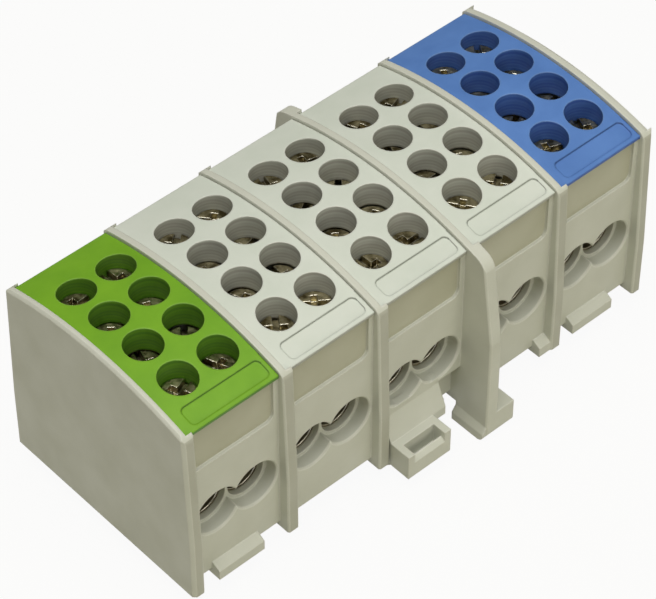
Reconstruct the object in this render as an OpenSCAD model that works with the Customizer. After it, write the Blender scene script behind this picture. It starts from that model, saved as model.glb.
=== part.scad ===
// Power distribution block: five poles side by side on a 35 mm top-hat rail.
// Each pole is an open-sided housing, a brass clamp body, eight clamp screws and a coloured lid.
// X runs along the rail, Y across it (wires enter from -Y and +Y), Z up from the rail's top face.

/* [Row] */
// Spacing of the poles along the rail
pitch = 21; // [21:0.1:22]
// Depth of the plates between the poles, front to back
block_d = 47.6; // [47:0.2:50]
// Height of the plates above the rail, at the crown of their arched tops
crown_h = 42; // [41.6:0.1:44]
// Radius of the arched tops
arch_r = 81; // [75:1:100]
// Radius of the plates' top corners
corner_r = 2; // [1.6:0.1:2.4]
// How far the plates' edges lean in at their top corners
plate_lean = 0.9; // [0.6:0.1:1.1]
// Width of a plate's top edge beside the lid that laps over the rest of it
strip_w = 1.2; // [1:0.1:1.4]

/* [Housings] */
// Thickness of the plates
flange_t = 2.4; // [2.2:0.1:2.6]
// Thickness of the front and back walls
wall_t = 2.2; // [2:0.1:2.4]
// How far the walls stand back from the plates' edges
wall_in = 2.2; // [2:0.1:2.6]
// Thickness of the floor
floor_t = 1.8; // [1.4:0.1:2.2]
// Gap between the rail and the lower edge of the walls
skirt_gap = 1.5; // [1.2:0.1:1.8]
// Depth of the label panels set into the walls
panel_t = 0.6; // [0.4:0.1:0.7]
// Height of the panels' lower edge
panel_z = 28; // [26:0.5:29]
// Gap between a panel and the plate on its right
panel_gap = 1; // [0.8:0.1:1.4]
// Radius of a panel's lower corner
panel_r = 1.6; // [1:0.1:2]
// Width of the ledges at the foot of the walls
ledge_w = 10; // [8:0.2:11]
// Height of the ledges
ledge_h = 3; // [2.4:0.1:3.6]

/* [Wire entries] */
// Bore radius of a wire channel in the clamp body
channel_r = 3.6; // [3.3:0.05:3.65]
// Spacing of the two channels of a pole, and of its screw columns
channel_gap = 8.4; // [8.3:0.1:8.6]
// Height of the channels above the rail
channel_z = 14.9; // [14.6:0.1:15.4]
// Radius of the outer ring of an entry
rim_r = 4.65; // [4.4:0.05:4.7]
// Radius of the inner ring of an entry
lead_r = 3.95; // [3.75:0.05:4]
// Depth of the outer ring
rim_depth = 2.8; // [2.4:0.1:3.2]
// Rounding at the mouth of an entry
mouth = 0.3; // [0.2:0.05:0.35]

/* [Lids] */
// How far the lids lie below the plates' tops
lid_drop = 0.65; // [0.5:0.05:0.9]
// Thickness of a lid between the walls
lid_t = 5; // [4.6:0.1:5.4]
// Thickness of a lid where it laps over the walls and a plate
lid_edge_t = 0.6; // [0.5:0.05:0.8]
// Diameter of the screw wells
well_d = 6.9; // [6.8:0.05:7]
// Depth of the label fields, front to back
field_d = 3.6; // [3:0.1:3.8]
// Depth of the label fields below the lid's surface
field_t = 0.25; // [0.15:0.05:0.35]

/* [Clamps] */
// Gap between a clamp body and the walls in front of it and behind it
end_gap = 2; // [1.8:0.1:2.2]
// Distance from the end of a clamp body to its first screws
end_row_d = 4.5; // [4.3:0.1:4.7]
// Metal left outside the channels, at each side of a clamp body
clamp_side = 0.8; // [0.7:0.05:0.85]
// Metal left under the channels
clamp_under = 2.3; // [2:0.1:2.8]
// Height of the threaded part above the channels
clamp_over = 8.5; // [7.5:0.1:9]

/* [Screws] */
// Nominal diameter of the clamp screws' thread
thread_d = 6; // [5.6:0.1:6]
// Head diameter
head_d = 6.5; // [6.3:0.05:6.55]
// Head height
head_h = 3.2; // [2.8:0.1:3.4]
// Depth of the lowest heads under the crown of the lid
head_sink = 4.85; // [4.6:0.05:5]
// Width of the driver slot
slot_w = 1.2; // [1:0.1:1.4]
// Depth of the driver slot and cross
slot_h = 1.5; // [1:0.1:1.8]
// Radial clearance between screw and thread
thread_clear = 0.05; // [0.03:0.01:0.08]

/* [Rail fixing] */
// Width of the top-hat rail
rail_w = 35; // [35:0.1:35.2]
// Thickness of the rail's lips
rail_t = 1; // [1:0.1:1.2]
// How far the hooks reach under the lips
hook_reach = 0.9; // [0.7:0.1:1.2]
// Thickness of the hooks
hook_t = 1.2; // [1:0.1:1.5]
// How far the support plate stands out past the other plates
foot_out = 5; // [4.6:0.1:5.4]
// How far the support plate's edges lean in at their top corners
foot_lean = 2.2; // [1.8:0.1:2.6]
// Depth of the support plate's feet below the rail's top face
foot_h = 4; // [3.6:0.1:5]
// Width of the block beside each foot
foot_block_w = 4.2; // [3.6:0.1:4.6]
// Height of the block beside each foot
foot_block_h = 5.7; // [5:0.1:6]
// Width of the release lug
lug_w = 10; // [9.6:0.1:10.4]
// How far the release lug stands out past the wall
lug_out = 6.5; // [6:0.1:7]
// Height of the release lug
lug_h = 5.5; // [5:0.1:5.8]
// Width of the driver pocket in the lug
pocket_w = 7.2; // [6.6:0.1:7.6]

/* [Hidden] */
$fn = 96;
eps = 0.01;
POLES = ["pe", "l1", "l2", "l3", "n"];
GREY = [0.80, 0.83, 0.80];
LIDS = [[0.50, 0.72, 0.15], GREY, GREY, GREY, [0.28, 0.50, 0.82]];
BRASS = [0.80, 0.68, 0.38];
ZINC = [0.78, 0.72, 0.50];
// row
poles = len(POLES);
row_w = poles * pitch + flange_t;
cav_w = pitch - flange_t;
arch_z = crown_h - arch_r;
lid_r = arch_r - lid_drop;
lid_crown = crown_h - lid_drop;
// height below the crown that the lids and their steps stay within
lid_reach = 12;
// front to back
half_d = block_d / 2;
wall_y = half_d - wall_in;
in_y = wall_y - wall_t;
lid_lap = 0.4;
lid_y = wall_y + lid_lap;
clamp_y = in_y - end_gap;
boss_y = clamp_y + 0.1;
row_gap = (clamp_y - end_row_d) / 1.5;
// where the plates' edges start to lean
lean_z = 13;
foot_lean_z = 20;
// clamp bodies
clamp_w = channel_gap + 2 * channel_r + 2 * clamp_side;
clamp_z0 = channel_z - channel_r - clamp_under;
clamp_z1 = channel_z + channel_r + clamp_over;
hole_r = thread_d / 2;
shank_r = hole_r - thread_clear;
// screws
head_z = lid_crown - head_sink;
tip_z = channel_z + channel_r + 0.2;
COLUMN = [-1, -1, -1, -1, 1, 1, 1, 1];
ROW = [-1.5, -0.5, 0.5, 1.5, -1.5, -0.5, 0.5, 1.5];
LIFT = [0.5, 0.1, 0, 0.4, 0.3, 0, 0.2, 0.6];
TURN = [20, 75, 140, 5, 110, 50, 160, 95];
// ledge starts, measured from the left edge of the cavity (none on the middle poles)
LEDGE = [3.4, -1, -1, cav_w - 2.7, 3.4];
// rail fixing
rail_y = rail_w / 2;
hook_z1 = -rail_t - 0.1;
hook_z0 = hook_z1 - hook_t;
arm_gap = 0.4;
arm_t = 1.6;
arm_w = 13;
arm_z = channel_z - rim_r - mouth - 0.5;
lug_z0 = -0.9;
lug_z1 = lug_z0 + lug_h;
lug_y = wall_y + lug_out;
shoulder_out = 2;
shoulder_y = wall_y + shoulder_out;
foot_y = half_d + foot_out;
leg_y = wall_y - 0.6;
plate_r = 3.5;
// joining tongues
tongue = 1.6;
tongue_t = 0.8;
tongue_h = 5;
tongue_y = 10;
tongue_w = 6;
play = 0.1;

// Left edge of the plate on the left of pole i
function plate_x(i) = -row_w / 2 + i * pitch;
// Left edge of pole i's cavity
function cav_x(i) = plate_x(i) + flange_t;
// Middle of pole i's cavity
function mid_x(i) = cav_x(i) + cav_w / 2;
// Height of an arch of radius r at distance y from the middle
function arch_at(r, y) = arch_z + sqrt(r * r - y * y);

// ---- building helpers ----

module block(x0, x1, y0, y1, z0, z1) {
    translate([x0, y0, z0])
        cube([x1 - x0, y1 - y0, z1 - z0]);
}

module rod_x(x0, x1, y, z, r) {
    translate([x0, y, z])
        rotate([0, 90, 0])
            cylinder(h = x1 - x0, r = r);
}

module rod_y(y0, y1, x, z, r) {
    translate([x, y1, z])
        rotate([90, 0, 0])
            cylinder(h = y1 - y0, r = r);
}

// A ring-shaped cut that widens towards its mouth at y1
module cone_y(y0, y1, x, z, r0, r1) {
    translate([x, y0, z])
        rotate([-90, 0, 0])
            cylinder(h = y1 - y0, r1 = r0, r2 = r1);
}

// A solid whose outline [y, z] runs along X
module bar_x(x0, x1, outline) {
    translate([x0, 0, 0])
        rotate([90, 0, 90])
            linear_extrude(x1 - x0)
                polygon(outline);
}

// A solid whose outline [x, z] runs along Y
module bar_y(y0, y1, outline) {
    translate([0, y1, 0])
        rotate([90, 0, 0])
            linear_extrude(y1 - y0)
                polygon(outline);
}

// Everything inside an arch of radius r
module under_arch(x0, x1, r) {
    intersection() {
        rod_x(x0 - 1, x1 + 1, 0, arch_z, r);
        children();
    }
}

// Height of the centre of a top corner of radius rc, at distance yc from the middle
function corner_z(yc, rc) = arch_z + sqrt((arch_r - rc) * (arch_r - rc) - yc * yc);
// Slope of a plate's edge that leans in by lean from height z0 up to its top corner
function lean_slope(half, z0, lean, rc) = lean / (corner_z(half - lean - rc, rc) - z0);

// What is cut away to lean a plate's edge and round its top corner
module edge_shape(x0, x1, half, z0, lean, rc) {
    slope = lean_slope(half, z0, lean, rc);
    yc = half - lean - rc;
    zc = corner_z(yc, rc);
    reach = rc + 3;
    ty = yc + reach * yc / (arch_r - rc);
    tz = zc + reach * (zc - arch_z) / (arch_r - rc);
    bar_x(x0 - 1, x1 + 1, [[half, z0], [half + 2, z0], [half + 2, crown_h], [half - slope * (crown_h - z0), crown_h]]);
    difference() {
        bar_x(x0 - 1, x1 + 1, [[yc, zc], [yc + rc + 1, zc], [yc + rc + 1, tz], [ty, tz]]);
        rod_x(x0 - 2, x1 + 2, yc, zc, rc);
    }
}

// A 45 degree cut of size c along a plate's edge, below and above the height z0 where it leans
module edge_cut(x, half, z0, slope, c) {
    for (a = [0, atan(slope)])
        translate([x, half, z0])
            rotate([a, 0, 0])
                rotate([0, 0, 45])
                    cube([c * sqrt(2), c * sqrt(2), 2 * crown_h], center = true);
}

// ---- housings ----

// What is cut from a plate's top for the lid on its right, which rests on the step
module lid_step(x0, x1) {
    difference() {
        block(x0 + strip_w, x1 + 1, -lid_y - play, lid_y + play, crown_h - lid_reach, crown_h + 1);
        rod_x(x0, x1 + 2, 0, arch_z, lid_r - lid_edge_t);
    }
}

// A plate with an arched top, leaning edges and rounded top corners
module plate(x0, edge_l, edge_r) {
    x1 = x0 + flange_t;
    slope = lean_slope(half_d, lean_z, plate_lean, corner_r);
    difference() {
        under_arch(x0, x1, arch_r)
            block(x0, x1, -half_d, half_d, 0, crown_h + 1);
        for (s = [0, 1])
            mirror([0, s, 0]) {
                edge_shape(x0, x1, half_d, lean_z, plate_lean, corner_r);
                edge_cut(x0, half_d, lean_z, slope, edge_l);
                edge_cut(x1, half_d, lean_z, slope, edge_r);
            }
        lid_step(x0, x1);
    }
}

// The larger plate that carries the feet
module support_plate(x0) {
    x1 = x0 + flange_t;
    slope = lean_slope(foot_y, foot_lean_z, foot_lean, plate_r);
    difference() {
        union() {
            under_arch(x0, x1, arch_r)
                block(x0, x1, -foot_y, foot_y, 0, crown_h + 1);
            for (s = [0, 1])
                mirror([0, s, 0])
                    foot(x0, x1);
        }
        for (s = [0, 1])
            mirror([0, s, 0]) {
                edge_shape(x0, x1, foot_y, foot_lean_z, foot_lean, plate_r);
                edge_cut(x0, foot_y, foot_lean_z, slope, 0.3);
            }
        lid_step(x0, x1);
    }
}

module foot(x0, x1) {
    difference() {
        union() {
            block(x0, x1, leg_y, foot_y, -foot_h, 1);
            bar_y(leg_y, foot_y, [[x0, -foot_h], [x0 - 0.9, -foot_h], [x0 - 0.9, -foot_h + 1.8], [x0, -0.9]]);
            block(x1 - eps, x1 + foot_block_w, wall_y + 0.6, foot_y, -foot_h, foot_block_h - foot_h);
        }
        // rounded toe
        difference() {
            block(x0 - 2, x1 + foot_block_w + 1, foot_y - 1.5, foot_y + 1, -foot_h - 1, -foot_h + 1.5);
            rod_x(x0 - 3, x1 + foot_block_w + 2, foot_y - 1.5, -foot_h + 1.5, 1.5);
        }
    }
}

// One front or back wall; the back one is its mirror image
module wall(i) {
    x0 = cav_x(i);
    x1 = x0 + cav_w;
    difference() {
        under_arch(x0, x1, lid_r - lid_edge_t)
            block(x0, x1, -wall_y, -in_y, skirt_gap, crown_h);
        label_panel(x0, x1 - panel_gap);
    }
    // thick collar behind the entries
    block(x0 + 0.6, x1, -in_y - eps, -boss_y, channel_z - rim_r - 1, channel_z + rim_r + 1);
}

// Label panel set into a wall, with one rounded lower corner
module label_panel(x0, x1) {
    difference() {
        block(x0 - 1, x1, -wall_y - 1, -wall_y + panel_t, panel_z, crown_h);
        difference() {
            block(x1 - panel_r, x1 + 1, -wall_y - 2, -in_y, panel_z - 1, panel_z + panel_r);
            rod_y(-wall_y - 3, -in_y + 1, x1 - panel_r, panel_z + panel_r, panel_r);
        }
    }
}

// The pair of stepped wire entries cut through one wall
module entries(i) {
    for (s = [-1, 1]) {
        x = mid_x(i) + s * channel_gap / 2;
        rod_y(-wall_y - 1, -wall_y + rim_depth, x, channel_z, rim_r);
        rod_y(-wall_y - 1, -boss_y + 1, x, channel_z, lead_r);
        cone_y(-wall_y - eps, -wall_y + mouth, x, channel_z, rim_r + mouth, rim_r);
    }
}

// Small ledge at the foot of a wall
module ledge(i) {
    if (LEDGE[i] >= 0) {
        x0 = cav_x(i) + LEDGE[i];
        x1 = min(x0 + ledge_w, cav_x(i) + cav_w + eps);
        y1 = half_d - 0.3;
        bar_x(x0, x1, [[-in_y, 0], [-y1, 0], [-y1, ledge_h - 0.9], [-wall_y - 0.3, ledge_h], [-in_y, ledge_h]]);
    }
}

module open_box(i) {
    x0 = cav_x(i);
    x1 = x0 + cav_w;
    wall(i);
    mirror([0, 1, 0])
        wall(i);
    // floor, with a rib that sits on the rail
    block(x0, x1, -in_y - eps, in_y + eps, skirt_gap, skirt_gap + floor_t);
    block(mid_x(i) - 1, mid_x(i) + 1, -rail_y + 2.5, rail_y - 2.5, 0, skirt_gap + eps);
    // two saddles under the clamp body
    for (s = [-1, 1])
        block(x0 + 0.6, x1 + eps, s * clamp_y / 2 - 0.9, s * clamp_y / 2 + 0.9, skirt_gap, clamp_z0);
}

// Tongues on the left edge, that enter the next plate's slots; grow makes the slots
module tongues(i, grow) {
    x0 = cav_x(i) - tongue - grow;
    x1 = cav_x(i) + (grow > 0 ? 0.01 : 0.4);
    z = skirt_gap + floor_t / 2;
    for (s = [0, 1])
        mirror([0, s, 0]) {
            block(x0, x1, in_y + 0.4 - grow, in_y + 0.4 + tongue_t + grow,
                panel_z + 2 - grow, panel_z + 2 + tongue_h + grow);
            block(x0, x1, tongue_y - tongue_w / 2 - grow, tongue_y + tongue_w / 2 + grow,
                z - tongue_t / 2 - grow, z + tongue_t / 2 + grow);
        }
}

// Grooves in the walls for the lid's snap ridges
module snap_grooves(i) {
    for (s = [0, 1])
        mirror([0, s, 0])
            block(mid_x(i) - 5.2, mid_x(i) + 5.2, in_y - 1, in_y + 0.45, panel_z + 4.9, panel_z + 6.1);
}

module housing(i) {
    color(GREY)
        difference() {
            union() {
                open_box(i);
                tongues(i, 0);
                ledge(i);
                mirror([0, 1, 0])
                    ledge(i);
                plate(plate_x(i + 1), 0.3, i == poles - 1 ? 0.6 : 0.3);
            }
            entries(i);
            mirror([0, 1, 0])
                entries(i);
            snap_grooves(i);
            if (i < poles - 1)
                tongues(i + 1, play);
        }
}

// ---- middle pole: rail catch, fixed hook and support plate ----

// The sprung arm, its release lug and the hook that takes the front lip of the rail
module catch_arm(i) {
    x0 = cav_x(i) + arm_gap;
    y1 = wall_y - arm_t;
    nose_y = rail_y - hook_reach;
    slope_z = arm_z - 0.3;
    // the arm stays clear of the wall behind it
    bar_x(x0, x0 + arm_w, [[-wall_y, arm_z + 1], [-wall_y, slope_z], [-shoulder_y, lug_z1],
        [-shoulder_y, lug_z1 - 1.9], [-y1, lug_z1 - 1.9], [-y1, arm_z + 1]]);
    bar_x(x0, x0 + lug_w, [[-shoulder_y, lug_z1 - 1.8], [-shoulder_y, lug_z0], [-wall_y - 0.6, hook_z0],
        [-nose_y - 1, hook_z0], [-nose_y, hook_z1 - 0.3], [-nose_y, hook_z1], [-y1, hook_z1], [-y1, lug_z1 - 1.8]]);
    lug(x0, x0 + lug_w);
    // nub on the free edge
    block(x0 + arm_w - 0.5, x0 + arm_w + 0.5, -wall_y - 1, -wall_y + 0.4, lug_z1 - 1.6, lug_z1 + 0.8);
}

module lug(x0, x1) {
    xm = (x0 + x1) / 2;
    difference() {
        block(x0, x1, -lug_y, -shoulder_y + eps, lug_z0, lug_z1);
        // driver pocket
        block(xm - pocket_w / 2, xm + pocket_w / 2, -lug_y + 1, -lug_y + 2.9, lug_z0 + 1.2, lug_z1 + 1);
        // lowered front lip with a bevel
        bar_x(xm - pocket_w / 2, xm + pocket_w / 2, [[-lug_y - 1, lug_z1 + 1], [-lug_y - 1, lug_z1 - 2.2],
            [-lug_y, lug_z1 - 2.2], [-lug_y + 1.1, lug_z1 - 1.3], [-lug_y + 1.1, lug_z1 + 1]]);
    }
}

// What is cut from the front wall to free the arm
module arm_space(i) {
    x0 = cav_x(i);
    block(x0 - eps, x0 + cav_w, -wall_y - 1, -in_y, skirt_gap - 1, arm_z);
    block(x0 - eps, x0 + arm_gap, -wall_y - 1, -in_y, skirt_gap - 1, arm_z + 0.8);
}

// Solid hook at the back, under the other lip of the rail
module fixed_hook(i) {
    x0 = cav_x(i) + arm_gap;
    nose_y = rail_y - hook_reach;
    bar_x(x0, x0 + lug_w, [[wall_y, skirt_gap + 1], [wall_y, hook_z0 + 1], [wall_y - 1, hook_z0], [nose_y + 1, hook_z0],
        [nose_y, hook_z0 + 0.6], [nose_y, hook_z1], [rail_y + 0.2, hook_z1], [rail_y + 0.2, skirt_gap + 1]]);
}

module rail_housing(i) {
    x0 = cav_x(i);
    color(GREY)
        union() {
            difference() {
                union() {
                    open_box(i);
                    tongues(i, 0);
                }
                entries(i);
                mirror([0, 1, 0])
                    entries(i);
                snap_grooves(i);
                arm_space(i);
            }
            // inner wall behind the arm
            block(x0, x0 + cav_w, -in_y, -in_y + 1.2, skirt_gap, arm_z + 0.5);
            catch_arm(i);
            fixed_hook(i);
            difference() {
                support_plate(plate_x(i + 1));
                tongues(i + 1, play);
            }
        }
}

// ---- end plate ----

module end_plate() {
    x0 = plate_x(0);
    x1 = x0 + flange_t;
    color(GREY)
        difference() {
            intersection() {
                plate(x0, 0.6, 0.3);
                union() {
                    rod_x(x0 + 1, x1 + 1, 0, arch_z, arch_r + 0.5);
                    translate([x0, 0, arch_z])
                        rotate([0, 90, 0])
                            cylinder(h = 1 + eps, r1 = arch_r - 0.5, r2 = arch_r + 0.5);
                }
            }
            tongues(0, play);
        }
}

// ---- lids ----

// Places children at each of the eight screw positions of pole i
module at_screws(i) {
    for (k = [0:7])
        translate([mid_x(i) + COLUMN[k] * channel_gap / 2, ROW[k] * row_gap, 0])
            children();
}

// Shallow label field with rounded corners at the front of a lid, following the arch
module label_field(i) {
    x0 = cav_x(i) + 1.2;
    x1 = cav_x(i) + cav_w - 0.9;
    y0 = -lid_y + 0.8;
    y1 = y0 + field_d;
    r = 1;
    difference() {
        union() {
            block(x0 + r, x1 - r, y0, y1, lid_crown - 8, crown_h);
            block(x0, x1, y0 + r, y1 - r, lid_crown - 8, crown_h);
            for (x = [x0 + r, x1 - r])
                for (y = [y0 + r, y1 - r])
                    translate([x, y, lid_crown - 8])
                        cylinder(h = crown_h - lid_crown + 8, r = r);
        }
        rod_x(x0 - 1, x1 + 1, 0, arch_z, lid_r - field_t);
    }
}

module lid(i) {
    x0 = cav_x(i) + play;
    x1 = cav_x(i) + cav_w - play;
    lap_x = plate_x(i) + strip_w + play;
    color(LIDS[i])
        difference() {
            under_arch(lap_x, x1, lid_r)
                union() {
                    // skin that laps over the walls and the plate on the left
                    difference() {
                        block(lap_x, x1, -lid_y, lid_y, crown_h - lid_reach, crown_h);
                        rod_x(lap_x - 1, x1 + 1, 0, arch_z, lid_r - lid_edge_t);
                    }
                    // thick slab between the walls, bored for the screws
                    difference() {
                        block(x0, x1, -in_y + play, in_y - play, crown_h - lid_reach, crown_h);
                        rod_x(x0 - 1, x1 + 1, 0, arch_z, lid_r - lid_t);
                    }
                    snap_lips(i);
                }
            at_screws(i)
                translate([0, 0, crown_h - lid_reach])
                    cylinder(h = lid_reach + 1, d = well_d);
            label_field(i);
        }
}

// Lips inside the walls, each with a snap ridge
module snap_lips(i) {
    for (s = [0, 1])
        mirror([0, s, 0]) {
            block(mid_x(i) - 6, mid_x(i) + 6, in_y - 1.1, in_y - play, panel_z + 4, lid_crown - 2);
            block(mid_x(i) - 5, mid_x(i) + 5, in_y - 0.6, in_y + 0.3, panel_z + 5.1, panel_z + 5.9);
        }
}

// ---- clamp bodies and screws ----

module clamp_body(i) {
    xm = mid_x(i);
    color(BRASS)
        difference() {
            block(xm - clamp_w / 2, xm + clamp_w / 2, -clamp_y, clamp_y, clamp_z0, clamp_z1);
            for (s = [-1, 1]) {
                x = xm + s * channel_gap / 2;
                rod_y(-clamp_y - 1, clamp_y + 1, x, channel_z, channel_r);
            }
            at_screws(i)
                translate([0, 0, channel_z])
                    cylinder(h = clamp_z1, r = hole_r);
            // broken long edges
            for (s = [-1, 1])
                translate([xm + s * clamp_w / 2, 0, clamp_z1])
                    rotate([0, 45, 0])
                        cube([0.8, 3 * clamp_y, 0.8], center = true);
        }
}

// Clamp screw k of pole i, with slot and cross recess
module clamp_screw(i, k) {
    top = head_z + LIFT[k];
    length = top - tip_z - LIFT[k];
    color(ZINC)
        translate([mid_x(i) + COLUMN[k] * channel_gap / 2, ROW[k] * row_gap, top])
            rotate([0, 0, TURN[k] + 35 * i])
                difference() {
                    union() {
                        translate([0, 0, -0.4])
                            cylinder(h = 0.4, d1 = head_d, d2 = head_d - 0.8);
                        translate([0, 0, -head_h])
                            cylinder(h = head_h - 0.4, d = head_d);
                        translate([0, 0, -length + 0.6])
                            cylinder(h = length - head_h - 0.6 + eps, r = shank_r);
                        translate([0, 0, -length])
                            cylinder(h = 0.6 + eps, r1 = shank_r - 0.7, r2 = shank_r);
                    }
                    cube([head_d + 1, slot_w, 2 * slot_h], center = true);
                    cube([slot_w, 3.8, 2 * slot_h], center = true);
                }
}

// ---- one module per sub-part ----

module housing_pe() {
    housing(0);
}

module housing_l1() {
    housing(1);
}

module housing_l2() {
    rail_housing(2);
}

module housing_l3() {
    housing(3);
}

module housing_n() {
    housing(4);
}

module lid_pe() {
    lid(0);
}

module lid_l1() {
    lid(1);
}

module lid_l2() {
    lid(2);
}

module lid_l3() {
    lid(3);
}

module lid_n() {
    lid(4);
}

module clamp_pe() {
    clamp_body(0);
}

module clamp_l1() {
    clamp_body(1);
}

module clamp_l2() {
    clamp_body(2);
}

module clamp_l3() {
    clamp_body(3);
}

module clamp_n() {
    clamp_body(4);
}

module screw_pe_1() {
    clamp_screw(0, 0);
}

module screw_pe_2() {
    clamp_screw(0, 1);
}

module screw_pe_3() {
    clamp_screw(0, 2);
}

module screw_pe_4() {
    clamp_screw(0, 3);
}

module screw_pe_5() {
    clamp_screw(0, 4);
}

module screw_pe_6() {
    clamp_screw(0, 5);
}

module screw_pe_7() {
    clamp_screw(0, 6);
}

module screw_pe_8() {
    clamp_screw(0, 7);
}

module screw_l1_1() {
    clamp_screw(1, 0);
}

module screw_l1_2() {
    clamp_screw(1, 1);
}

module screw_l1_3() {
    clamp_screw(1, 2);
}

module screw_l1_4() {
    clamp_screw(1, 3);
}

module screw_l1_5() {
    clamp_screw(1, 4);
}

module screw_l1_6() {
    clamp_screw(1, 5);
}

module screw_l1_7() {
    clamp_screw(1, 6);
}

module screw_l1_8() {
    clamp_screw(1, 7);
}

module screw_l2_1() {
    clamp_screw(2, 0);
}

module screw_l2_2() {
    clamp_screw(2, 1);
}

module screw_l2_3() {
    clamp_screw(2, 2);
}

module screw_l2_4() {
    clamp_screw(2, 3);
}

module screw_l2_5() {
    clamp_screw(2, 4);
}

module screw_l2_6() {
    clamp_screw(2, 5);
}

module screw_l2_7() {
    clamp_screw(2, 6);
}

module screw_l2_8() {
    clamp_screw(2, 7);
}

module screw_l3_1() {
    clamp_screw(3, 0);
}

module screw_l3_2() {
    clamp_screw(3, 1);
}

module screw_l3_3() {
    clamp_screw(3, 2);
}

module screw_l3_4() {
    clamp_screw(3, 3);
}

module screw_l3_5() {
    clamp_screw(3, 4);
}

module screw_l3_6() {
    clamp_screw(3, 5);
}

module screw_l3_7() {
    clamp_screw(3, 6);
}

module screw_l3_8() {
    clamp_screw(3, 7);
}

module screw_n_1() {
    clamp_screw(4, 0);
}

module screw_n_2() {
    clamp_screw(4, 1);
}

module screw_n_3() {
    clamp_screw(4, 2);
}

module screw_n_4() {
    clamp_screw(4, 3);
}

module screw_n_5() {
    clamp_screw(4, 4);
}

module screw_n_6() {
    clamp_screw(4, 5);
}

module screw_n_7() {
    clamp_screw(4, 6);
}

module screw_n_8() {
    clamp_screw(4, 7);
}

housing_pe();
housing_l1();
housing_l2();
housing_l3();
housing_n();
end_plate();
lid_pe();
lid_l1();
lid_l2();
lid_l3();
lid_n();
clamp_pe();
clamp_l1();
clamp_l2();
clamp_l3();
clamp_n();
screw_pe_1();
screw_pe_2();
screw_pe_3();
screw_pe_4();
screw_pe_5();
screw_pe_6();
screw_pe_7();
screw_pe_8();
screw_l1_1();
screw_l1_2();
screw_l1_3();
screw_l1_4();
screw_l1_5();
screw_l1_6();
screw_l1_7();
screw_l1_8();
screw_l2_1();
screw_l2_2();
screw_l2_3();
screw_l2_4();
screw_l2_5();
screw_l2_6();
screw_l2_7();
screw_l2_8();
screw_l3_1();
screw_l3_2();
screw_l3_3();
screw_l3_4();
screw_l3_5();
screw_l3_6();
screw_l3_7();
screw_l3_8();
screw_n_1();
screw_n_2();
screw_n_3();
screw_n_4();
screw_n_5();
screw_n_6();
screw_n_7();
screw_n_8();
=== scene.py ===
# %% [markdown]
# # Power distribution block
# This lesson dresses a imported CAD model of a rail-mounted power distribution
# block: five poles side by side, each with a light grey moulded housing, an
# arched lid with eight sunk clamp screws, and stepped round wire entries.
# All shapes come from the CAD frame. Here they get their finishes, their light
# and a camera. Nothing is added to them, so the block keeps its real size.

import bmesh
import bpy
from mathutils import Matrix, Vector


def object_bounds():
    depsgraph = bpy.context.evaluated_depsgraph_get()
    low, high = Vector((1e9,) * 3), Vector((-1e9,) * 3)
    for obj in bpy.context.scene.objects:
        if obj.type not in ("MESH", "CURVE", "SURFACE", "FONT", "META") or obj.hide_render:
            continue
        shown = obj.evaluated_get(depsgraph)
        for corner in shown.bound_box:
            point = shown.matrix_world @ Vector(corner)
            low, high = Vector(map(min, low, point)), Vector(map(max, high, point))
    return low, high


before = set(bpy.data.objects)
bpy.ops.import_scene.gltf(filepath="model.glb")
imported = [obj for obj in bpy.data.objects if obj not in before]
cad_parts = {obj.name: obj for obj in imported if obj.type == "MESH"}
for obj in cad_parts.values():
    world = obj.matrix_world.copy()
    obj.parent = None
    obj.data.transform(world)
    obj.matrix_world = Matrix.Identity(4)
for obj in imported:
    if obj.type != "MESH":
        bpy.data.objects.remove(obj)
cad_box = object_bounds()
scene = bpy.context.scene
scene.view_settings.view_transform = "Standard"
MM = 0.001
POLES = ("pe", "l1", "l2", "l3", "n")

# %% [markdown]
# The camera looks down on the earth pole's end from the front left. A long
# lens keeps the five poles nearly the same size, as in a catalogue picture.
# It is turned by tracking one point near the middle of the block, which is
# easier to set than three angles.

# %% Camera
CAMERA_PLACE = Vector((-0.2409, -0.2630, 0.3864))
LOOK_AT = Vector((-0.0037, -0.0017, 0.0200))

camera_data = bpy.data.cameras.new("catalogue_camera")
camera_data.sensor_width = 36
camera_data.lens = 161.2
camera_data.clip_start = 0.01
camera_data.clip_end = 20
camera = bpy.data.objects.new("catalogue_camera", camera_data)
scene.collection.objects.link(camera)
sight = LOOK_AT - CAMERA_PLACE
camera.location = CAMERA_PLACE
camera.rotation_euler = sight.to_track_quat("-Z", "Y").to_euler()
scene.camera = camera
print("camera is", round(sight.length, 3), "m away")

# %% [markdown]
# Light grey plastic shows its form only by how much light each side gets. One
# wide lamp above and a little in front makes the lids the brightest surfaces
# and puts a light line on every ledge, ring and step of the walls. It hangs
# far from the camera's mirror direction, because a satin lid that reflects a
# lamp loses its colour. A weak lamp low in front keeps the walls a little
# darker than the lids. Both are wide, so their shadows have soft edges.

# %% Studio lamps


def add_lamp(name, place, target, size, power, colour):
    """A square area lamp at place, turned towards target."""
    data = bpy.data.lights.new(name, "AREA")
    data.shape = "SQUARE"
    data.size = size
    data.energy = power
    data.color = colour
    lamp = bpy.data.objects.new(name, data)
    scene.collection.objects.link(lamp)
    lamp.location = place
    aim = Vector(target) - Vector(place)
    lamp.rotation_euler = aim.to_track_quat("-Z", "Y").to_euler()
    return lamp


add_lamp(
    "top_softbox",
    place=(-0.16, -0.13, 1.10),
    target=(0, 0, 0.03),
    size=0.95,
    power=11.2,
    colour=(1.0, 0.99, 0.93),
)
add_lamp(
    "front_fill",
    place=(0.05, -0.80, 0.20),
    target=(0, 0, 0.02),
    size=0.60,
    power=1.9,
    colour=(1.0, 0.97, 0.84),
)

# %% [markdown]
# The room itself gives a weak, slightly warm light from all sides, which
# opens the shadows in the entries and wells. The camera sees a plain white in
# its place. A Light Path node makes that choice, so the white background
# costs the block no colour.

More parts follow.
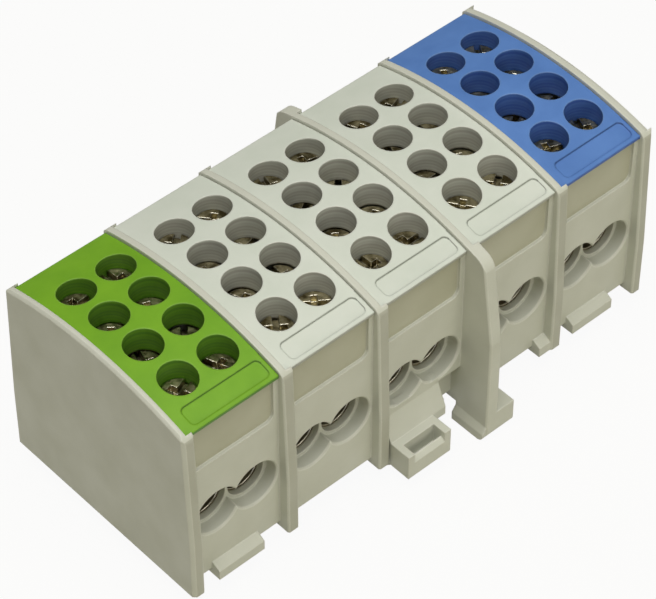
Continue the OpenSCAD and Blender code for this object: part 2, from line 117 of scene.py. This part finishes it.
# %% White room
ROOM_COLOUR = (1.0, 0.96, 0.76, 1)
ROOM_STRENGTH = 0.12

world = bpy.data.worlds.new("white_room")
scene.world = world
world.use_nodes = True
world_nodes = world.node_tree.nodes
world_links = world.node_tree.links
world_nodes.clear()
world_out = world_nodes.new("ShaderNodeOutputWorld")
seen = world_nodes.new("ShaderNodeBackground")
seen.inputs["Color"].default_value = (1, 1, 1, 1)
seen.inputs["Strength"].default_value = 1.0
ambient = world_nodes.new("ShaderNodeBackground")
ambient.inputs["Color"].default_value = ROOM_COLOUR
ambient.inputs["Strength"].default_value = ROOM_STRENGTH
choice = world_nodes.new("ShaderNodeMixShader")
path = world_nodes.new("ShaderNodeLightPath")
world_links.new(path.outputs["Is Camera Ray"], choice.inputs["Fac"])
world_links.new(ambient.outputs[0], choice.inputs[1])
world_links.new(seen.outputs[0], choice.inputs[2])
world_links.new(choice.outputs[0], world_out.inputs[0])
print("room light:", ROOM_STRENGTH)

# %% [markdown]
# The floor is a big pale sheet just under the feet. A grid of one face is
# enough for it.

# %% Floor sheet
FLOOR_HALF = 6.0
FLOOR_GAP = 0.2 * MM

floor_height = cad_box[0].z - FLOOR_GAP
bm = bmesh.new()
bmesh.ops.create_grid(bm, x_segments=1, y_segments=1, size=FLOOR_HALF)
bmesh.ops.translate(bm, verts=bm.verts, vec=(0, 0, floor_height))
floor_mesh = bpy.data.meshes.new("floor")
bm.to_mesh(floor_mesh)
bm.free()
floor = bpy.data.objects.new("floor", floor_mesh)
scene.collection.objects.link(floor)
print("floor at z =", round(floor_height, 4))

# %% [markdown]
# To the camera and to glossy plastic most of the floor's brightness is its
# own, so that it reads as white paper. The rest is lit, so that it still
# holds a faint shadow. From below it is clear, so that the rail side of the
# block can be looked at too.

# %% Floor paper
PAPER_COLOUR = (0.52, 0.50, 0.38, 1)
GLOW_SHARE = 0.94

floor_paper = bpy.data.materials.new("floor_paper")
floor_paper.use_nodes = True
paper_nodes = floor_paper.node_tree.nodes
paper_links = floor_paper.node_tree.links
paper_nodes.clear()
paper_out = paper_nodes.new("ShaderNodeOutputMaterial")
matt = paper_nodes.new("ShaderNodeBsdfDiffuse")
matt.inputs["Color"].default_value = PAPER_COLOUR
glow = paper_nodes.new("ShaderNodeEmission")
glow.inputs["Color"].default_value = (1, 1, 1, 1)
glow.inputs["Strength"].default_value = 1.0
ray = paper_nodes.new("ShaderNodeLightPath")
seen_ray = paper_nodes.new("ShaderNodeMath")
seen_ray.operation = "MAXIMUM"
paper_links.new(ray.outputs["Is Camera Ray"], seen_ray.inputs[0])
paper_links.new(ray.outputs["Is Glossy Ray"], seen_ray.inputs[1])
share = paper_nodes.new("ShaderNodeMath")
share.operation = "MULTIPLY"
share.inputs[1].default_value = GLOW_SHARE
paper_links.new(seen_ray.outputs[0], share.inputs[0])
paper = paper_nodes.new("ShaderNodeMixShader")
paper_links.new(share.outputs[0], paper.inputs["Fac"])
paper_links.new(matt.outputs[0], paper.inputs[1])
paper_links.new(glow.outputs[0], paper.inputs[2])
side = paper_nodes.new("ShaderNodeNewGeometry")
clear = paper_nodes.new("ShaderNodeBsdfTransparent")
one_sided = paper_nodes.new("ShaderNodeMixShader")
paper_links.new(side.outputs["Backfacing"], one_sided.inputs["Fac"])
paper_links.new(paper.outputs[0], one_sided.inputs[1])
paper_links.new(clear.outputs[0], one_sided.inputs[2])
paper_links.new(one_sided.outputs[0], paper_out.inputs[0])
floor.data.materials.append(floor_paper)
print("floor glow share:", GLOW_SHARE)

# %% [markdown]
# A finish is a chain of small nodes, and the same steps come back in each of
# them. These helpers add one step to a node tree and give back its output:
# mapping a value to a new range, running a colour between two tones, and
# multiplying or screening a colour in where a mask is 1.

# %% Helpers for colours and ranges


def spread(tree, value, given, wanted):
    """Maps value from the given range to the wanted one, held at both ends."""
    step = tree.nodes.new("ShaderNodeMapRange")
    step.inputs["From Min"].default_value = given[0]
    step.inputs["From Max"].default_value = given[1]
    step.inputs["To Min"].default_value = wanted[0]
    step.inputs["To Max"].default_value = wanted[1]
    tree.links.new(value, step.inputs["Value"])
    return step.outputs["Result"]


def two_tones(tree, value, span, dark, light):
    """A colour that runs from dark to light while value crosses the span."""
    step = tree.nodes.new("ShaderNodeValToRGB")
    low, high = step.color_ramp.elements
    low.position, high.position = span
    low.color, high.color = (*dark, 1), (*light, 1)
    tree.links.new(value, step.inputs["Fac"])
    return step.outputs["Color"]


def blend(tree, mode, mask, base, colour):
    """The base, with colour multiplied or screened in where the mask is 1."""
    step = tree.nodes.new("ShaderNodeMix")
    step.data_type = "RGBA"
    step.blend_type = mode
    step.inputs["B"].default_value = (*colour, 1)
    tree.links.new(mask, step.inputs["Factor"])
    tree.links.new(base, step.inputs["A"])
    return step.outputs["Result"]


print("helpers: spread, two_tones, blend")

# %% [markdown]
# Moulded and machined edges are never knife sharp, and rounded edges catch
# more light, which the finishes paint in as a lighter edge highlight. One
# shader group serves every finish, so that all pieces share the same grain and
# edge mask. It is made once, with named inputs for the values that
# differ from one finish to the next.

# %% Group with its inputs and outputs


def new_group(name, wanted, given):
    """An empty shader group; wanted and given list (name, kind, default)."""
    group = bpy.data.node_groups.new(name, "ShaderNodeTree")
    for sockets, way in ((wanted, "INPUT"), (given, "OUTPUT")):
        for label, kind, value in sockets:
            socket = group.interface.new_socket(label, in_out=way, socket_type=kind)
            if value is not None:
                socket.default_value = value
    start = group.nodes.new("NodeGroupInput")
    end = group.nodes.new("NodeGroupOutput")
    return group, start, end


FLOAT, VECTOR = "NodeSocketFloat", "NodeSocketVector"
PLASTIC_GRAIN = 0.02 * MM
PLASTIC_ROUNDING = 0.45 * MM

moulded_grain, gin, gout = new_group(
    "moulded_grain",
    (
        ("Scale", FLOAT, 900.0),
        ("Patch", FLOAT, 140.0),
        ("Depth", FLOAT, PLASTIC_GRAIN),
        ("Rounding", FLOAT, PLASTIC_ROUNDING),
    ),
    (
        ("Normal", VECTOR, None),
        ("Drift", FLOAT, None),
        ("Speck", FLOAT, None),
        ("Edge", FLOAT, None),
    ),
)
print("groups:", [g.name for g in bpy.data.node_groups])

# %% [markdown]
# A mould leaves a fine, even grain, and a slow drift in tone keeps a wide
# flat wall from looking like flat paint. Both are noise in Object
# coordinates, so they stay with the piece when it moves.

# %% Grain and drift
gn, gl = moulded_grain.nodes, moulded_grain.links
coords = gn.new("ShaderNodeTexCoord")
grain = gn.new("ShaderNodeTexNoise")
grain.inputs["Detail"].default_value = 3
drift = gn.new("ShaderNodeTexNoise")
drift.inputs["Detail"].default_value = 4
for noise, label in ((grain, "Scale"), (drift, "Patch")):
    gl.new(coords.outputs["Object"], noise.inputs["Vector"])
    gl.new(gin.outputs[label], noise.inputs["Scale"])
gl.new(drift.outputs["Fac"], gout.inputs["Drift"])
gl.new(grain.outputs["Fac"], gout.inputs["Speck"])
print("grain and drift wired")

# %% [markdown]
# A Bevel node rounds the shading over a fraction of a millimetre without
# touching the mesh. Where the rounded normal leaves the true one, there is an
# edge, and the dot product of the two gives the edge mask. The grain is a
# bump on top of the rounded normal.

# %% Rounded edges and edge mask
EDGE_STARTS, EDGE_FULL = 0.995, 0.80

rounding = gn.new("ShaderNodeBevel")
rounding.samples = 6
gl.new(gin.outputs["Rounding"], rounding.inputs["Radius"])
bump = gn.new("ShaderNodeBump")
bump.inputs["Strength"].default_value = 1.0
gl.new(gin.outputs["Depth"], bump.inputs["Distance"])
gl.new(grain.outputs["Fac"], bump.inputs["Height"])
gl.new(rounding.outputs["Normal"], bump.inputs["Normal"])
true_normal = gn.new("ShaderNodeNewGeometry")
turn = gn.new("ShaderNodeVectorMath")
turn.operation = "DOT_PRODUCT"
gl.new(rounding.outputs["Normal"], turn.inputs[0])
gl.new(true_normal.outputs["True Normal"], turn.inputs[1])
edge = spread(moulded_grain, turn.outputs["Value"], (EDGE_STARTS, EDGE_FULL), (0, 1))
gl.new(edge, gout.inputs["Edge"])
gl.new(bump.outputs["Normal"], gout.inputs["Normal"])
print("group nodes:", len(gn))

# %% [markdown]
# Some places on a moulding differ from the rest: the sunk label panels, the
# plates' narrow edges, the walls of the wells. They are one mesh with the
# rest, so masks find them by where a point lies and which way its face
# looks. Masks are 0 or 1, so a product means "all of these" and a maximum
# means "any of these".

# %% Helpers for masks


def parts(tree, source):
    """The X, Y and Z outputs of a place or a direction."""
    split = tree.nodes.new("ShaderNodeSeparateXYZ")
    tree.links.new(source, split.inputs[0])
    return split.outputs


def place_of(tree):
    """The point that is shaded, in metres in the block's frame."""
    return parts(tree, tree.nodes.new("ShaderNodeTexCoord").outputs["Object"])


def way_of(tree):
    """The direction in which the face looks."""
    return parts(tree, tree.nodes.new("ShaderNodeNewGeometry").outputs["True Normal"])


def math_step(tree, mode, first, second=None):
    """One Math node; second is a socket, a plain number, or nothing."""
    step = tree.nodes.new("ShaderNodeMath")
    step.operation = mode
    tree.links.new(first, step.inputs[0])
    if isinstance(second, (int, float)):
        step.inputs[1].default_value = second
    elif second is not None:
        tree.links.new(second, step.inputs[1])
    return step.outputs[0]


def above(tree, value, limit):
    """1 where value is more than limit."""
    return math_step(tree, "GREATER_THAN", value, limit)


def below(tree, value, limit):
    """1 where value is less than limit."""
    return math_step(tree, "LESS_THAN", value, limit)


def unsigned(tree, value):
    """The value without its sign, so that front and back count the same."""
    return math_step(tree, "ABSOLUTE", value)


def all_of(tree, first, *others):
    """1 where all the masks are 1."""
    for other in others:
        first = math_step(tree, "MULTIPLY", first, other)
    return first


print("helpers: masks by place and direction")

# %% [markdown]
# The label panels are set into the front and back walls, and painted shade
# makes them a little darker and warmer than the rest. They lie in a thin layer
# just behind the wall's face, and high up, which is enough to find them.

# %% Label panels of the walls
STRAIGHT_OUT = 0.9
PANEL_LAYER = (20.7 * MM, 21.3 * MM)
PANEL_FOOT = 27.9 * MM
PANEL_SHADE_TONE = (0.80, 0.78, 0.68)


def panel_mask(tree):
    """1 on the walls' sunk label panels."""
    depth = unsigned(tree, place_of(tree)["Y"])
    return all_of(
        tree,
        above(tree, depth, PANEL_LAYER[0]),
        below(tree, depth, PANEL_LAYER[1]),
        above(tree, place_of(tree)["Z"], PANEL_FOOT),
        above(tree, unsigned(tree, way_of(tree)["Y"]), STRAIGHT_OUT),
    )


print("panel layer:", PANEL_LAYER)

# %% [markdown]
# The plates between the poles show their narrow edges at the front and back,
# a little darker than the walls. Each edge leans inwards in its upper part.
# Lower down, the shoulder of the rail catch reaches out nearly as far, so the
# mask starts a little further out there and leaves the catch alone. The
# larger support plate reaches further out than the mask does.

# %% Front and back edges of the plates
LEAN_FROM = 13 * MM
LEANING_EDGE = 22.2 * MM
UPRIGHT_EDGE = 23.7 * MM
SUPPORT_PLATE = 24.5 * MM
PLATE_EDGE_TONE = (0.78, 0.77, 0.74)


def plate_edge_mask(tree):
    """1 on the narrow front and back edges of the plates between the poles."""
    place = place_of(tree)
    depth = unsigned(tree, place["Y"])
    leaning = all_of(
        tree,
        above(tree, depth, LEANING_EDGE),
        above(tree, place["Z"], LEAN_FROM),
    )
    upright = above(tree, depth, UPRIGHT_EDGE)
    return all_of(
        tree,
        math_step(tree, "MAXIMUM", leaning, upright),
        below(tree, depth, SUPPORT_PLATE),
        above(tree, unsigned(tree, way_of(tree)["Y"]), STRAIGHT_OUT),
    )


print("plate edges reach", round(UPRIGHT_EDGE / MM, 1), "mm and more")

# %% [markdown]
# The wells in the lids are deep. Their walls get painted shade, much darker
# than the lid's face, broken by fine level lines that run around them.
# One-dimensional noise along the height gives such lines at little cost. The
# mask keeps them off the face.

# %% Walls of the wells
UPRIGHT_TILT = 0.5
LINES_PER_METRE = 1800
LINE_NOISE = (0.35, 0.65)
LINE_STRENGTH = (0.55, 1.0)


def well_wall_mask(tree):
    """A mask on upright faces, broken into fine level lines."""
    tilt = unsigned(tree, way_of(tree)["Z"])
    lines = tree.nodes.new("ShaderNodeTexNoise")
    lines.noise_dimensions = "1D"
    lines.inputs["Scale"].default_value = LINES_PER_METRE
    lines.inputs["Detail"].default_value = 2
    tree.links.new(place_of(tree)["Z"], lines.inputs["W"])
    strength = spread(tree, lines.outputs["Fac"], LINE_NOISE, LINE_STRENGTH)
    return all_of(tree, below(tree, tilt, UPRIGHT_TILT), strength)


print("well lines per mm:", LINES_PER_METRE * MM)

# %% [markdown]
# Each lid has a shallow label field along its front. Its step is only a
# quarter of a millimetre high and gets a soft painted shadow at its inner side
# instead of a painted light line. So the edge mask is split in two here: where
# it paints a highlight, and where it paints shadow.

# %% Label fields of the lids
FIELD_FROM = -17.0 * MM
FIELD_STEP_TO = -18.6 * MM
FIELD_STEP_SHADOW = (0.50, 0.52, 0.50)


def field_masks(tree):
    """1 on the lid behind its label field, and 1 around the field's inner step."""
    across = place_of(tree)["Y"]
    behind = above(tree, across, FIELD_FROM)
    step = all_of(
        tree,
        below(tree, across, FIELD_FROM),
        above(tree, across, FIELD_STEP_TO),
    )
    return behind, step


print("label field starts at", round(FIELD_FROM / MM, 1), "mm")

# %% [markdown]
# Blocks like this are usually moulded in one polyamide in several colours, so
# one function makes them all. The colour runs between a slightly darker and a
# slightly lighter tone along the drift, the roughness follows it the other
# way, and a painted highlight makes edges a shade lighter. Values that are the
# same all over are set on the shader's own sockets.

# %% Moulded plastic
DRIFT_SPAN = (0.30, 0.70)
SATIN = (0.54, 0.42)


def moulded_plastic(name, dark, light, edge_highlight_tone, panels=False, well_shade_tone=None):
    """Satin moulded plastic whose colour drifts between two tones."""
    material = bpy.data.materials.new(name)
    material.use_nodes = True
    tree = material.node_tree
    skin = tree.nodes["Principled BSDF"]
    skin.inputs["IOR"].default_value = 1.50
    skin.inputs["Specular IOR Level"].default_value = 0.40
    group = tree.nodes.new("ShaderNodeGroup")
    group.node_tree = moulded_grain
    drifting, edge_mask = group.outputs["Drift"], group.outputs["Edge"]
    colour = two_tones(tree, drifting, DRIFT_SPAN, dark, light)
    if panels:
        # Painted shade on the sunk label panels.
        colour = blend(tree, "MULTIPLY", panel_mask(tree), colour, PANEL_SHADE_TONE)
        colour = blend(tree, "MULTIPLY", plate_edge_mask(tree), colour, PLATE_EDGE_TONE)
    if well_shade_tone:
        # Painted shade on the wells' walls, broken into level lines.
        colour = blend(tree, "MULTIPLY", well_wall_mask(tree), colour, well_shade_tone)
        behind_field, field_step = field_masks(tree)
        # Painted shadow along the inner step of the label field.
        shaded = all_of(tree, edge_mask, field_step)
        colour = blend(tree, "MULTIPLY", shaded, colour, FIELD_STEP_SHADOW)
        edge_mask = all_of(tree, edge_mask, behind_field)
    # Painted highlight: edges are screened a shade lighter.
    colour = blend(tree, "SCREEN", edge_mask, colour, edge_highlight_tone)
    tree.links.new(colour, skin.inputs["Base Color"])
    tree.links.new(spread(tree, drifting, DRIFT_SPAN, SATIN), skin.inputs["Roughness"])
    tree.links.new(group.outputs["Normal"], skin.inputs["Normal"])
    return material


print("plastic roughness:", SATIN)

# %% [markdown]
# Four colours are moulded: light grey for the housings, a slightly lighter
# and cooler grey for three lids, green for the earth pole's lid and blue for
# the neutral pole's. The painted edge highlight of a coloured lid is a lighter
# version of its own colour.

# %% The four plastics
# Painted edge highlight tone for the grey plastics.
GREY_EDGE_HIGHLIGHT = (0.52, 0.50, 0.43)

housing_grey = moulded_plastic(
    "housing_grey",
    dark=(0.59, 0.60, 0.53),
    light=(0.63, 0.64, 0.57),
    edge_highlight_tone=GREY_EDGE_HIGHLIGHT,
    panels=True,
)
lid_grey = moulded_plastic(
    "lid_grey",
    dark=(0.62, 0.665, 0.60),
    light=(0.68, 0.715, 0.66),
    edge_highlight_tone=GREY_EDGE_HIGHLIGHT,
    well_shade_tone=(0.66, 0.62, 0.62),
)
lid_green = moulded_plastic(
    "lid_green",
    dark=(0.155, 0.36, 0.014),
    light=(0.20, 0.43, 0.022),
    edge_highlight_tone=(0.11, 0.20, 0.05),
    well_shade_tone=(0.48, 0.58, 1.0),
)
lid_blue = moulded_plastic(
    "lid_blue",
    dark=(0.085, 0.20, 0.53),
    light=(0.115, 0.25, 0.62),
    edge_highlight_tone=(0.10, 0.15, 0.22),
    well_shade_tone=(0.48, 0.54, 0.78),
)
plastics = (housing_grey, lid_grey, lid_green, lid_blue)
print("plastics:", [m.name for m in plastics])

# %% [markdown]
# The clamp bodies are hidden and taken as dull brass, painted darker and
# greyer still for the shade deep in the entries. The screws are taken as steel
# with a yellowish zinc coat. Down in their wells they look dark, apart from
# small glints at rims and slot edges, so the edge mask paints a lighter
# highlight there and makes the metal smoother.

# %% Metals
METAL_ROUNDING = 0.25 * MM
COAT_SPAN = (0.38, 0.62)
EDGE_GLINT_TONE = (0.85, 0.82, 0.72)
POLISHED_ROUGH = 0.14


def plated_metal(name, dark, light, rough, grain_depth):
    """Metal whose coat drifts in tone, with a fine grain and polished edges."""
    material = bpy.data.materials.new(name)
    material.use_nodes = True
    tree = material.node_tree
    skin = tree.nodes["Principled BSDF"]
    skin.inputs["Metallic"].default_value = 1.0
    group = tree.nodes.new("ShaderNodeGroup")
    group.node_tree = moulded_grain
    group.inputs["Scale"].default_value = 1100
    group.inputs["Patch"].default_value = 500
    group.inputs["Depth"].default_value = grain_depth
    group.inputs["Rounding"].default_value = METAL_ROUNDING
    edge_mask = group.outputs["Edge"]
    coat = two_tones(tree, group.outputs["Drift"], COAT_SPAN, dark, light)
    # Painted highlight: rims and slot edges are screened lighter as glints.
    coat = blend(tree, "SCREEN", edge_mask, coat, EDGE_GLINT_TONE)
    tree.links.new(coat, skin.inputs["Base Color"])
    polish = tree.nodes.new("ShaderNodeMix")
    polish.inputs["B"].default_value = POLISHED_ROUGH
    grained = spread(tree, group.outputs["Speck"], (0, 1), rough)
    tree.links.new(edge_mask, polish.inputs["Factor"])
    tree.links.new(grained, polish.inputs["A"])
    tree.links.new(polish.outputs["Result"], skin.inputs["Roughness"])
    tree.links.new(group.outputs["Normal"], skin.inputs["Normal"])
    return material


# Painted shade: the brass tones are darker and greyer for the deep entries.
clamp_brass = plated_metal(
    "clamp_brass",
    dark=(0.36, 0.31, 0.22),
    light=(0.50, 0.44, 0.32),
    rough=(0.42, 0.55),
    grain_depth=0.04 * MM,
)
screw_zinc = plated_metal(
    "screw_zinc",
    dark=(0.13, 0.105, 0.05),
    light=(0.56, 0.50, 0.33),
    rough=(0.20, 0.40),
    grain_depth=0.13 * MM,
)
print("metals:", [m.name for m in (clamp_brass, screw_zinc)])

# %% [markdown]
# Each CAD node is one real piece, so each gets one material. Their names say
# what they are and which pole they belong to, and a loop over the poles
# reaches them all but the end plate.

# %% Finishes on the CAD pieces


def dress(node, material):
    """Puts one material on a CAD node."""
    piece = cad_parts[node]
    piece.data.materials.clear()
    piece.data.materials.append(material)


SCREWS_PER_POLE = 8
LIDS = {
    "pe": lid_green,
    "l1": lid_grey,
    "l2": lid_grey,
    "l3": lid_grey,
    "n": lid_blue,
}
for pole in POLES:
    dress(f"housing_{pole}", housing_grey)
    dress(f"lid_{pole}", LIDS[pole])
    dress(f"clamp_{pole}", clamp_brass)
    for number in range(1, SCREWS_PER_POLE + 1):
        dress(f"screw_{pole}_{number}", screw_zinc)
dress("end_plate", housing_grey)
print("dressed", len(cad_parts), "nodes")
